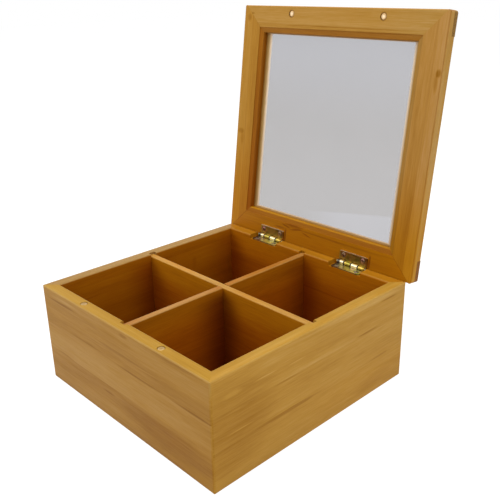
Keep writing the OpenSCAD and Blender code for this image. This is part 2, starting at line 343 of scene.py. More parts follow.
@dataclass(frozen=True)
class Mark:
    """A darker or lighter patch at one place on a board; lengths in millimetres."""

    along: float
    across: float
    reach: float
    spread: float
    strength: float
    turn: float = 0.0

    def shade(self, along: Flow, across: Flow) -> Flow:
        """How much it changes the tone.

        Args:
            along: Place along the board.
            across: Place across the board.

        Returns:
            Its strength in its middle, 0 outside it.
        """
        x = along - self.along
        y = across - self.across
        if self.turn:
            cos, sin = math.cos(math.radians(self.turn)), math.sin(math.radians(self.turn))
            x, y = x * cos + y * sin, y * cos - x * sin
        return self.strength * (x / self.reach).hypot(y / self.spread).rise(1.0, 0.3)


@dataclass(frozen=True)
class Zone:
    """A part of a piece with a tint of its own, which fades in from start to end along one axis.

    Lengths are in millimetres, in the shut box. A zone with a middle is counted from there, to both sides.
    """

    axis: str
    start: float
    end: float
    tint: Colour = (1.0, 1.0, 1.0)
    middle: float | None = None
    within: "Zone | None" = None

    def share(self, axes: dict[str, Flow]) -> Flow:
        """How far it has faded in.

        Args:
            axes: Place along each axis.

        Returns:
            0 outside it, 1 in it.
        """
        place = axes[self.axis]
        if self.middle is not None:
            place = abs(place - self.middle)
        share = place.rise(self.start, self.end)
        return share if self.within is None else share * self.within.share(axes)

    def tinted(self, axes: dict[str, Flow], colour: Flow) -> Flow:
        """The colour with the zone's tint in it."""
        return colour.bench.blend(self.share(axes), colour, self.tint, "MULTIPLY")


@dataclass(frozen=True)
class Corner:
    """Painted shade where a board meets another inside the box, and little light gets in; millimetres along
    the board.
    """

    at: float
    way: int
    tint: Colour
    reach: float = 30.0

    def share(self, along: Flow) -> Flow:
        """How dim it is: 1 at the corner, 0 out of its reach and on its other side."""
        away = (along - self.at) * float(self.way)
        return away.rise(self.reach, 0.0) * away.rise(-3.0, -1.0)


def corners(*shades: tuple[float, ...]) -> tuple[Corner, ...]:
    """A board's corners inside the box, from its low end on; a shade is a tint and, if given, a reach."""
    places = ((-81, 1), (-2.5, -1), (2.5, 1), (81, -1))
    return tuple(Corner(*place, shade[:3], *shade[3:]) for place, shade in zip(places, shades))


@dataclass(frozen=True)
class Board:
    """How one bamboo board is glued up from strips; lengths in millimetres.

    Its strips meet at joints, counted across the board, and tones has one more entry than joints.
    """

    name: str
    grain: Grain
    seed: float
    joints: tuple[float, ...] = ()
    tones: tuple[float, ...] = (0.0,)
    tint: Colour = (1.0, 1.0, 1.0)
    glue_lines: float = 0.5
    marks: tuple[Mark, ...] = ()
    zones: tuple[Zone, ...] = ()
    on_lid: bool = False
    end_grain: bool = False
    inside_from: float | None = None
    inside_way: int = 1
    inside_below: float | None = None
    inside_shade_top: Colour = (0.93, 0.70, 0.06)
    inside_shade_deep: Colour = (0.77, 0.50, 0.04)
    corners: tuple[Corner, ...] = ()
    drilled_at: tuple[tuple[float, float], ...] = ()
    hole_shade: float = 0.7
    wear_and_highlight: float = 1.0


@dataclass(frozen=True)
class Bamboo:
    """Caramelised bamboo laminate under a thin satin lacquer."""

    pale: Colour = paint(202, 158, 102)
    plain: Colour = paint(181, 131, 58)
    dark: Colour = paint(146, 94, 8)
    glue: Colour = paint(118, 68, 8)
    end_dark: Colour = paint(104, 70, 22)
    end_pale: Colour = paint(152, 108, 38)
    roughness: float = 0.46
    specular: float = 0.12
    relief: float = 0.05 * MM
    # The pale colour of worn edges with their painted highlight.
    rubbed_highlight: Colour = paint(178, 148, 90)
    drilled_radius: float = 3.2
    ring_width: float = 0.7
    meeting: float = 74.1
    shade_from: float = 74.0
    shade_to: float = 44.0
    highlight_from: float = 62.0
    highlight_to: float = 71.0
    corner_from: float = 75.0
    corner_to: float = 61.0

    def make(self, board: Board) -> Material:
        """Makes the finish of one board.

        Args:
            board: The board.

        Returns:
            The material.
        """
        bench = Bench.for_material("bamboo_" + board.name)
        place = bench.place(board.on_lid)
        axes = place.axes()
        along, across, through = (axes[axis] for axis in board.grain.value)
        start = Vector((board.seed * 37.1, board.seed * 11.7, board.seed * 5.3))
        plain_lie = bench.node("CombineXYZ", {0: along, 1: across, 2: through})
        wander = plain_lie.noise((70, 25, 25), start * 2)
        across = across + 0.5 * wander

        strip: Flow | float = 0.0
        tone: Flow | float = board.tones[0]
        glue: Flow | float = 0.0
        for joint, below, above in zip(board.joints, board.tones, board.tones[1:]):
            strip = across.rise(joint - 0.15, joint + 0.15) + strip
            tone = tone + (above - below) * across.rise(joint - 0.5, joint + 0.5)
            glue = abs(across - joint).rise(0.7, 0.1) + glue
        lie = bench.node("CombineXYZ", {0: along + strip * 61.0, 1: across, 2: through + strip * 23.0})

        broad = lie.noise((130, 12, 12), start)
        streak = lie.noise((50, 2.2, 2.2), start, 3.0, 0.6)
        fibre = lie.noise((14, 0.8, 0.8), start, 2.0, 0.6)
        dash = lie.noise((8, 0.6, 0.6), start * 2).rise(0.45, 0.9)
        pore = lie.noise((5, 0.5, 0.5), start * 4).rise(0.5, 1.0)

        value = 0.5 + 0.24 * broad + 0.12 * streak + 0.17 * fibre + 0.14 * dash - 0.17 * pore + tone
        for mark in board.marks:
            value = value + mark.shade(along, across)
        value = value.clamped()
        colour = bench.node(
            "ValToRGB", {0: value}, stops=[(0.0, self.dark), (0.5, self.plain), (1.0, self.pale)]
        )
        if board.joints:
            patchy = lie.noise((45, 30, 30), start * 3)
            glue = (board.glue_lines * glue * (0.7 + 1.4 * patchy)).clamped()
            colour = bench.blend(glue, colour, self.glue)
        # Painted shade round each magnet's hole, in the glue colour.
        for x, y in board.drilled_at:
            away = (axes["X"] - x).hypot(axes["Y"] - y)
            ring = away.rise(self.drilled_radius, self.drilled_radius - self.ring_width)
            drilled = abs(axes["Z"] - self.meeting).rise(0.9, 0.5)
            colour = bench.blend(board.hole_shade * ring * drilled, colour, self.glue)
        if board.end_grain:
            colour = self._with_end_grain(board, colour, lie, start)
        if board.tint != (1.0, 1.0, 1.0):
            colour = bench.blend(1.0, colour, board.tint, "MULTIPLY")
        # Painted light and shade inside the compartments: a tint that grows darker and redder towards the
        # bottom, and dimmer still into the corners.
        inside = self._inside(board, across, through)
        if inside is not None:
            depth = axes["Z"].rise(self.shade_from, self.shade_to)
            shade = bench.blend(depth, board.inside_shade_top, board.inside_shade_deep)
            colour = bench.blend(inside, colour, shade, "MULTIPLY")
            low = inside * axes["Z"].rise(self.corner_from, self.corner_to)
            for corner in board.corners:
                colour = bench.blend(low * corner.share(along), colour, corner.tint, "MULTIPLY")
        for zone in board.zones:
            colour = zone.tinted(axes, colour)
        # Painted highlight along the rounded top edges, with pale specks of wear.
        if board.wear_and_highlight:
            worn_and_highlit = board.wear_and_highlight * self._edge_wear_and_highlight(lie, start) * axes["Z"].rise(self.highlight_from, self.highlight_to)
            colour = bench.blend(worn_and_highlit, colour, self.rubbed_highlight)

        rough = self.roughness - 0.10 * streak + 0.10 * pore
        height = 0.5 * fibre + 0.5 * dash - 0.8 * pore + 0.3 * streak
        look = {"Base Color": colour, "Roughness": rough, "Specular IOR Level": self.specular}
        return bench.skin(look, height, self.relief, 0.6)

    @staticmethod
    def _edge_wear_and_highlight(lie: Flow, start: Vector) -> Flow:
        """Where a board's rounded edges get a painted highlight, with pale specks of wear here and there.

        Args:
            lie: Place along, across and through the board.
            start: The board's own shift of the pattern.

        Returns:
            How strong the highlight and the wear are, 0 to 1.
        """
        bench = lie.bench
        largest: Flow | float = 0.0
        for part in bench.node("TexCoord", out="Normal").axes().values():
            largest = bench.math("MAXIMUM", largest, abs(part))
        speck = lie.noise((3, 1, 1), start * 5, 3.0, 0.7).rise(0.3, 0.9)
        return largest.rise(0.985, 0.93) * (0.35 + 0.5 * speck)

    @staticmethod
    def _inside(board: Board, across: Flow, through: Flow) -> Flow | None:
        """Where the board faces a compartment, which gets painted shade.

        Args:
            board: The board.
            across: Place across the board.
            through: Place through the board.

        Returns:
            1 inside, 0 outside, or nothing where the board has no such face.
        """
        if board.inside_from is not None:
            return ((through - board.inside_from) * float(board.inside_way)).rise(-0.3, -0.05)
        if board.inside_below is not None:
            return across.rise(board.inside_below + 0.2, board.inside_below - 0.4)
        return None

    def _with_end_grain(self, board: Board, colour: Flow, lie: Flow, start: Vector) -> Flow:
        """Adds the dark, dotted look of cut fibre ends.

        Args:
            board: The board.
            colour: Its colour so far.
            lie: Place along, across and through the board.
            start: The board's own shift of the pattern.

        Returns:
            The colour with its ends.
        """
        bench = lie.bench
        facing = abs(bench.node("TexCoord", out="Normal").axes()[board.grain.value[0]])
        dots = lie.noise((0.9, 0.8, 0.6), start, 2.0, 0.6)
        end = bench.blend((0.5 + 1.2 * dots).clamped(), self.end_dark, self.end_pale)
        return bench.blend(facing.rise(0.6, 0.85), colour, end)


@dataclass(frozen=True)
class Plating:
    """What sets the plating of one piece apart, and where it is darkened, where it has a painted highlight
    and where it has painted shade.
    """

    seed: float
    pinkness: float
    on_lid: bool = False
    tint: Colour = (1.0, 1.0, 1.0)
    darkened: tuple[Zone, ...] = ()
    worn_and_highlit: tuple[Zone, ...] = ()
    shaded: tuple[Zone, ...] = ()


@dataclass(frozen=True)
class YellowZinc:
    """Yellow passivated zinc plating, with its green, gold and pink sheen."""

    gold: Colour = paint(200, 184, 132)
    green: Colour = paint(146, 154, 104)
    pink: Colour = paint(194, 156, 148)
    # The colours of painted highlights and of painted shade.
    bright: Colour = paint(216, 200, 160)
    painted_shade: Colour = paint(48, 32, 18)
    roughness: float = 0.3

    def make(self, name: str, plating: Plating) -> Material:
        """Makes the plating.

        Args:
            name: What the plated piece is called.
            plating: How it differs from the others.

        Returns:
            The material.
        """
        bench = Bench.for_material("zinc_" + name)
        place = bench.place(plating.on_lid)
        start = Vector((plating.seed, plating.seed * 2.3, plating.seed * 0.7))
        cloud = place.noise(3.5, start, 3.0)
        swirl = place.noise(4.5, start * 3, 2.0)
        scratch = place.noise(0.5, start, 3.0, 0.7)
        colour = bench.blend(cloud.rise(-0.5, 0.7), self.green, self.gold)
        colour = bench.blend((0.3 * plating.pinkness + swirl).rise(0.0, 0.8), colour, self.pink)
        colour = bench.blend(1.0, colour, plating.tint, "MULTIPLY")
        axes = place.axes()
        metal: Flow | float = 1.0
        # Darkened zones first, then painted highlights, then painted shade, which is dark and not metallic.
        for zone in plating.darkened:
            colour = zone.tinted(axes, colour)
        for zone in plating.worn_and_highlit:
            colour = bench.blend(zone.share(axes), colour, self.bright)
        for zone in plating.shaded:
            shaded = zone.share(axes)
            colour = bench.blend(shaded, colour, self.painted_shade)
            metal = metal * (1.0 - shaded)
        rough = self.roughness + 0.07 * scratch + 0.05 * cloud
        return bench.skin({"Base Color": colour, "Metallic": metal, "Roughness": rough}, scratch)


@dataclass(frozen=True)
class Nickel:
    """Nickel plating, scuffed by use, with a painted highlight in its middle that fades into the rim colour;
    lengths in millimetres.
    """

    bright: Colour = paint(242, 220, 186)
    scuffed: Colour = paint(218, 192, 152)
    rim: Colour = paint(186, 150, 102)
    highlight_radius: float = 0.3
    radius: float = 1.9
    roughness: float = 0.36

    def make(self, name: str, seed: float, on_lid: bool) -> Material:
        """Makes the plating.

        Args:
            name: The plated piece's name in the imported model.
            seed: Shift of the pattern.
            on_lid: Whether it moves with the lid.

        Returns:
            The material.
        """
        bench = Bench.for_material("nickel_" + name)
        place = bench.place(on_lid)
        start = Vector((seed, seed * 1.7, seed * 0.4))
        scuff = place.noise(0.9, start, 4.0, 0.7)
        low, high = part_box(name)
        middle = (low + high) / 2
        if on_lid:
            middle = Hinging.from_frame().shut(middle)
        axes = place.axes()
        away = (axes["X"] - middle.x / MM).hypot(axes["Y"] - middle.y / MM) + 0.3 * scuff
        colour = bench.blend(scuff.rise(-0.6, 0.8), self.bright, self.scuffed)
        # Painted highlight in the middle, fading into the rim colour.
        colour = bench.blend(away.rise(self.highlight_radius, self.radius), colour, self.rim)
        rough = self.roughness + 0.10 * scuff
        return bench.skin({"Base Color": colour, "Metallic": 1.0, "Roughness": rough}, scuff)


@dataclass(frozen=True)
class Pane:
    """A clear sheet with a light grey tint and a trace of dust; glue with a painted highlight along its
    edges, a painted reflection near the hinges and painted light towards its free edge; millimetres.
    """

    tint: Colour = paint(216, 215, 215)
    clearer: Colour = paint(228, 229, 234)
    haze: Colour = paint(205, 206, 210)
    glue_edge: Colour = paint(160, 108, 36)
    glue: Colour = paint(180, 143, 81)
    thin_glue_highlight: Colour = paint(236, 210, 172)
    glue_highlight_trace: Colour = paint(236, 220, 204)
    straight_on: float = 0.04
    half_width: float = 70.7
    front: float = -71.0
    back: float = 70.0
    underside: float = 79.0
    glue_left: float = 2.8
    glue_right: float = 1.77
    glue_back: float = 1.2
    glue_front: float = 0.35
    glue_ends: float = 2.5
    glue_covers: float = 1.9
    ramp_ends: float = 2.4

    def make(self) -> Material:
        """Makes the pane's finish.

        Returns:
            The material.
        """
        bench = Bench.for_material("pane")
        place = bench.place(on_lid=True)
        axes = place.axes()
        dust = place.noise(30.0, Vector((3, 1, 4)), 3.0)
        bleed = place.noise(6.0, Vector((5, 2, 1)), 2.0)
        inset: Flow | float = 9.0
        for away, width in (
            (self.half_width + axes["X"], self.glue_left), (self.half_width - axes["X"], self.glue_right),
            (self.back - axes["Y"], self.glue_back), (axes["Y"] - self.front, self.glue_front),
        ):
            inset = bench.math("MINIMUM", inset, away / width)
        inset = inset + 0.1 * bleed
        # A band of glue along the edges, on the underside only; it grows paler outwards as a painted
        # highlight.
        below = axes["Z"].rise(self.underside + 0.6, self.underside + 0.3)
        glue_and_highlight = 0.95 * inset.rise(self.glue_ends, self.glue_covers) * below
        glue = bench.node("ValToRGB", {0: inset / self.ramp_ends}, stops=[
            (0.0, self.glue_edge), (0.28, self.glue), (0.45, self.glue),
            (0.72, self.thin_glue_highlight), (0.9, self.glue_highlight_trace),
        ])
        # Painted reflection near the hinges on the right, and painted light that makes the pane clearer
        # towards its free edge.
        painted_reflection = (axes["Y"] + 0.155 * axes["X"]).rise(57.5, 60.0) * axes["X"].rise(-25.0, 25.0)
        painted_light = (0.32 * painted_reflection + 0.42 * axes["Y"].rise(0.0, -66.0)).clamped()
        grey, clearer = (bench.node("BsdfTransparent", {"Color": hue}) for hue in (self.tint, self.clearer))
        clear = bench.node("MixShader", {0: painted_light, 1: grey, 2: clearer})
        base = bench.blend(glue_and_highlight.rise(0.0, 0.3), self.haze, glue)
        rough = 0.06 + 0.4 * glue_and_highlight
        skin = bench.node("BsdfPrincipled", {"Base Color": base, "Roughness": rough, "IOR": 1.49})
        slant = bench.node("LayerWeight", {"Blend": 0.5}, "Facing")
        mirror = self.straight_on + (1 - self.straight_on) * bench.math("POWER", slant, 5.0)
        share = (0.02 + 0.02 * dust + mirror + glue_and_highlight).clamped()
        return bench.surface(bench.node("MixShader", {0: share, 1: clear, 2: skin}))


# ---- sub-assemblies ----


@dataclass
class BoxBody:
    """The four mitred walls and the bottom panel."""

    bamboo: Bamboo = field(default_factory=Bamboo)

    def build(self) -> None:
        """Dresses the walls and the bottom."""
        for board in (self._front(), self._right(), self._back(), self._left(), self._bottom()):
            dress(board.name, self.bamboo.make(board))

    @staticmethod
    def _front() -> Board:
        """The front wall, with the drilled holes of the magnets in its top edge.

        Returns:
            Its board.
        """
        magnets = [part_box(f"box_magnet_{side}") for side in ("left", "right")]
        middles = tuple(tuple((low + high).xy / 2 / MM) for low, high in magnets)
        return Board(
            "front_wall", Grain.SIDEWAYS_UPRIGHT, 1.0, (26.2, 46.8), (-0.04, 0.10, -0.04),
            tint=(0.90, 0.89, 0.6),
            # Painted light on the top face, which has a tint of its own, and painted shade low down on the
            # right, which is less blue.
            zones=(
                Zone("Z", 73.5, 73.9, (0.98, 1.05, 0.75)),
                Zone("X", 5.0, 55.0, (1.0, 0.97, 0.72), within=Zone("Z", 38.0, 18.0)),
            ),
            glue_lines=0.12, inside_from=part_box("front_wall")[1].y / MM, drilled_at=middles,
            hole_shade=0.1, corners=corners(*[(0.7, 0.55, 0.6)] * 4),
            marks=(
                Mark(22, 46.9, 32, 1.0, -0.4), Mark(75, 46.7, 26, 1.0, -0.45),
                Mark(-35, 48.4, 26, 1.0, -0.25), Mark(-64, 66.9, 24, 1.1, -0.4),
                Mark(-62, 69.8, 25, 1.4, 0.2), Mark(9, 71.0, 6, 1.6, -0.3), Mark(-68, 26.6, 15, 0.9, -0.3),
                Mark(-14, 20.4, 9, 1.0, -0.3), Mark(52, 16, 72, 13, -0.30), Mark(-45, 58, 60, 4.0, 0.12),
                Mark(5, 56.0, 40, 1.4, -0.2), Mark(60, 72.5, 40, 2.0, -0.2),
            ),
        )

    @staticmethod
    def _right() -> Board:
        """The right wall.

        Returns:
            Its board.
        """
        return Board(
            "right_wall", Grain.LENGTHWAYS_UPRIGHT, 2.0, (27.2, 50.0), (-0.02, 0.0, 0.0), glue_lines=0.05,
            tint=(1.0, 1.05, 0.74), inside_from=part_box("right_wall")[0].x / MM, inside_way=-1,
            corners=corners(*[(0.7, 0.55, 0.6)] * 4),
            # The top face has a tint of its own, painted to match how it is lit; low down the wall is less
            # blue, as painted shade.
            zones=(
                Zone("X", 86.8, 84.2, (0.90, 0.89, 0.82)), Zone("Z", 73.5, 73.9, (0.97, 0.98, 0.9)),
                Zone("Y", -40.0, 50.0, (1.0, 0.96, 0.75), within=Zone("Z", 38.0, 18.0)),
            ),
            wear_and_highlight=0.7,
            marks=(
                Mark(-28, 27.2, 36, 2.0, -0.35), Mark(48, 51.2, 16, 1.0, -0.4),
                Mark(-30, 49.5, 18, 0.9, -0.15), Mark(70, 68.6, 13, 0.9, -0.35),
                # The lighter mark 40 along and 71.5 up is a painted highlight under the top edge.
                Mark(40, 71.5, 60, 3.0, 0.35), Mark(-75, 42, 45, 44, -0.26), Mark(-48, 60.0, 12, 0.7, 0.3),
                Mark(-22, 58.5, 10, 0.6, 0.3), Mark(-74, 60.0, 10, 3.0, 0.2), Mark(62, 27.2, 15, 1.1, -0.25),
                Mark(-70, 34.5, 14, 0.6, 0.3), Mark(54, 10, 24, 6, -0.12),
            ),
        )

    @staticmethod
    def _back() -> Board:
        """The back wall, under the hinges.

        Returns:
            Its board.
        """
        return Board(
            "back_wall", Grain.SIDEWAYS_UPRIGHT, 3.0, (24.0, 47.0), (0.0, -0.03, -0.05),
            # The strong tint is painted shade on the top edge, which lies in the open lid's shade.
            tint=(0.88, 0.72, 0.12), wear_and_highlight=0.25, glue_lines=0.1, inside_from=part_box("back_wall")[0].y / MM,
            inside_way=-1, inside_shade_top=(1.30, 1.09, 0.33), inside_shade_deep=(0.98, 0.63, 0.25),
            corners=corners(
                (0.78, 0.64, 0.7, 22), (0.88, 0.8, 0.8, 20), (0.70, 0.54, 0.6, 22), (0.88, 0.8, 0.8, 14),
            ),
            marks=(
                Mark(20, 47.2, 60, 0.9, -0.15), Mark(-50, 24.2, 40, 0.9, -0.3), Mark(-12, 60, 3, 6, -0.2),
            ),
        )

    @staticmethod
    def _left() -> Board:
        """The left wall.

        Returns:
            Its board.
        """
        return Board(
            "left_wall", Grain.LENGTHWAYS_UPRIGHT, 4.0, (22.0, 44.0, 66.0), (0.0, -0.03, 0.03, -0.03),
            wear_and_highlight=0.4, glue_lines=0.1, tint=(0.80, 0.92, 1.4), inside_from=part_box("left_wall")[1].x / MM,
            inside_shade_top=(1.0, 0.56, 0.02), inside_shade_deep=(0.82, 0.44, 0.01),
            corners=corners(
                (0.84, 0.76, 0.8, 20), (0.62, 0.42, 0.6), (0.84, 0.76, 0.8, 22), (0.74, 0.58, 0.7, 36),
            ),
            marks=(Mark(-61, 56, 14, 0.8, -0.2), Mark(35, 22.2, 50, 0.9, -0.3), Mark(40, 55, 3, 7, -0.15)),
        )

    @staticmethod
    def _bottom() -> Board:
        """The bottom panel, seen from above in the compartments and from below.

        Returns:
            Its board.
        """
        return Board(
            "bottom_panel", Grain.SIDEWAYS_FLAT, 5.0, (-60.0, -36.0, -12.0, 12.0, 36.0, 60.0),
            (0.0, -0.1, 0.06, -0.04, 0.08, -0.06, 0.04), inside_from=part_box("bottom_panel")[1].z / MM,
        )


@dataclass
class Dividers:
    """The two halved boards that cross in the middle."""

    bamboo: Bamboo = field(default_factory=lambda: Bamboo(
        pale=paint(212, 162, 92), plain=paint(188, 128, 62), dark=paint(142, 84, 24)))

    def build(self) -> None:
        """Dresses both dividers."""
        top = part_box("long_divider")[1].z / MM
        for board in (
            Board(
                "long_divider", Grain.SIDEWAYS_UPRIGHT, 6.0, (38.0,), (0.0, 0.05), glue_lines=0.2,
                inside_below=top, tint=(0.93, 1.10, 1.0), inside_shade_top=(1.15, 0.84, 0.07),
                inside_shade_deep=(0.88, 0.46, 0.035),
                corners=corners(
                    (0.88, 0.8, 0.8, 20), (0.8, 0.7, 0.8, 15), (0.52, 0.42, 0.5, 22), (0.8, 0.7, 0.8, 15),
                ),
            ),
            Board(
                "cross_divider", Grain.LENGTHWAYS_UPRIGHT, 7.0, (35.0,), (-0.1, -0.1), glue_lines=0.2,
                inside_below=top, tint=(0.98, 1.18, 1.5), inside_shade_top=(0.83, 0.55, 0.033),
                inside_shade_deep=(0.77, 0.385, 0.016),
                corners=corners(
                    (0.9, 0.8, 0.9, 15), (0.42, 0.28, 0.4, 34), (0.6, 0.4, 0.5, 14), (0.66, 0.56, 0.6, 32),
                ),
            ),
        ):
            dress(board.name, self.bamboo.make(board))


@dataclass
class Lid:
    """The frame round the window, with the drilled holes of its magnets, and the pane."""

    bamboo: Bamboo = field(default_factory=Bamboo)
    pane: Pane = field(default_factory=Pane)
    # Painted shade: the underside grows darker and redder towards the hinges.
    glow: Zone = Zone("Y", -10.0, 75.0, (1.0, 0.81, 0.12))
    magnet_x: float = 42.0
    magnet_y: float = -85.5

    def build(self) -> None:
        """Dresses the lid's frame and pane."""
        for board in (self._front_rail(), self._back_rail(), self._left_stile(), self._right_stile()):
            dress(board.name, self.bamboo.make(board))
        dress("window_pane", self.pane.make())

    def _front_rail(self) -> Board:
        """The rail at the free edge, with the drilled holes of the magnets.

        Returns:
            Its board.
        """
        return Board(
            "lid_front_rail", Grain.SIDEWAYS_FLAT, 8.0, (-78.0,), (0.06, 0.0), on_lid=True, end_grain=True,
            wear_and_highlight=0.0, tint=(1.0, 1.02, 0.80), glue_lines=0.1, hole_shade=0.5,
            drilled_at=tuple((side * self.magnet_x, self.magnet_y) for side in (-1, 1)),
            marks=(
                Mark(10, -77.2, 75, 0.6, -0.3), Mark(-84, -85, 3.5, 1.0, -0.35),
                Mark(-86, -80, 4, 1.2, -0.3), Mark(-80.7, -81, 14, 0.5, -0.2, 45),
            ),
            # The first zone is painted shade on the bead along the window.
            zones=(Zone("Y", -75.3, -74.9, (0.85, 0.67, 0.34)), Zone("X", 30.0, 80.0, (1.0, 1.06, 1.35))),
        )

    def _back_rail(self) -> Board:
        """The rail that the hinges hold, with a painted shadow beside the right end of each.

        Returns:
            Its board.
        """
        # Painted shadow beside the right end of each hinge leaf.
        gap = Zone("Y", 6.0, 3.0, middle=84.0, within=Zone("Z", 75.2, 74.8))
        shadow_tint = (0.55, 0.42, 0.3)
        painted_shade = tuple(Zone("X", 1.0, 0.4, shadow_tint, middle=end, within=gap) for end in (-27.8, 56.2))
        return Board(
            "lid_back_rail", Grain.SIDEWAYS_FLAT, 9.0, (76.5,), (0.0, 0.02), on_lid=True, end_grain=True,
            wear_and_highlight=0.0, tint=(0.95, 0.85, 0.06), glue_lines=0.2,
            # Painted light and shade: darker towards the hinges, a darker bead along the window, a painted
            # highlight on the bead's edge and the painted shadows beside the leaves.
            zones=(
                self.glow, Zone("Y", 74.2, 73.8, (0.77, 0.72, 0.08)), Zone("Y", 71.0, 70.3, (1.3, 1.6, 3.0)),
                *painted_shade,
            ),
            marks=(
                Mark(-20, 75.0, 14, 1.6, -0.45), Mark(-34, 79.0, 9, 1.2, -0.4),
                Mark(20, 77.0, 60, 0.8, -0.3), Mark(-28, 76.6, 7, 0.9, -0.6, 14),
                Mark(-17, 77.4, 8, 0.9, -0.6, -12), Mark(-6, 79.2, 7, 0.8, -0.5, 14),
                Mark(80.7, 80, 14, 0.5, -0.6, 45), Mark(-80.7, 80, 14, 0.5, -0.6, -45),
            ),
        )

    def _left_stile(self) -> Board:
        """The stile on the left.

        Returns:
            Its board.
        """
        return Board(
            "lid_left_stile", Grain.LENGTHWAYS_FLAT, 10.0, (-83.5,), (0.1, -0.02), on_lid=True,
            glue_lines=0.15, wear_and_highlight=0.0, tint=(0.99, 0.94, 0.5),
            marks=(Mark(8, -88, 3.0, 5, -0.35), Mark(14, -86, 7, 3, -0.2), Mark(-82, -87, 4, 3, -0.3)),
            # Painted shade: darker towards the hinges, on the bead along the window and on the window's
            # inner wall.
            zones=(
                self.glow, Zone("X", -75.0, -74.5, (0.76, 0.56, 0.17)),
                Zone("X", -71.6, -71.1, (0.8, 0.75, 0.7)),
            ),
        )

    def _right_stile(self) -> Board:
        """The stile on the right.

        Returns:
            Its board.
        """
        return Board(
            "lid_right_stile", Grain.LENGTHWAYS_FLAT, 11.0, (84.5,), (-0.06, 0.04), on_lid=True,
            glue_lines=0.15, wear_and_highlight=0.0,
            marks=(
                Mark(-52, 89.7, 3.5, 2.6, -0.5), Mark(-46, 88.5, 9.0, 2.2, -0.3),
                Mark(0, 78, 70, 2.0, -0.15), Mark(45, 83.0, 35, 5.0, -0.15),
            ),
            # Painted shade: darker towards the hinges, a darker outer side face, a darker bead along the
            # window and a dark line along the outer arris.
            zones=(
                self.glow, Zone("X", 92.3, 92.6, (0.94, 1.0, 0.93)),
                Zone("X", 74.9, 74.4, (0.86, 0.89, 0.85)),
                Zone("X", 0.55, 0.25, (0.80, 0.74, 0.65), middle=92.1),
            ),
        )


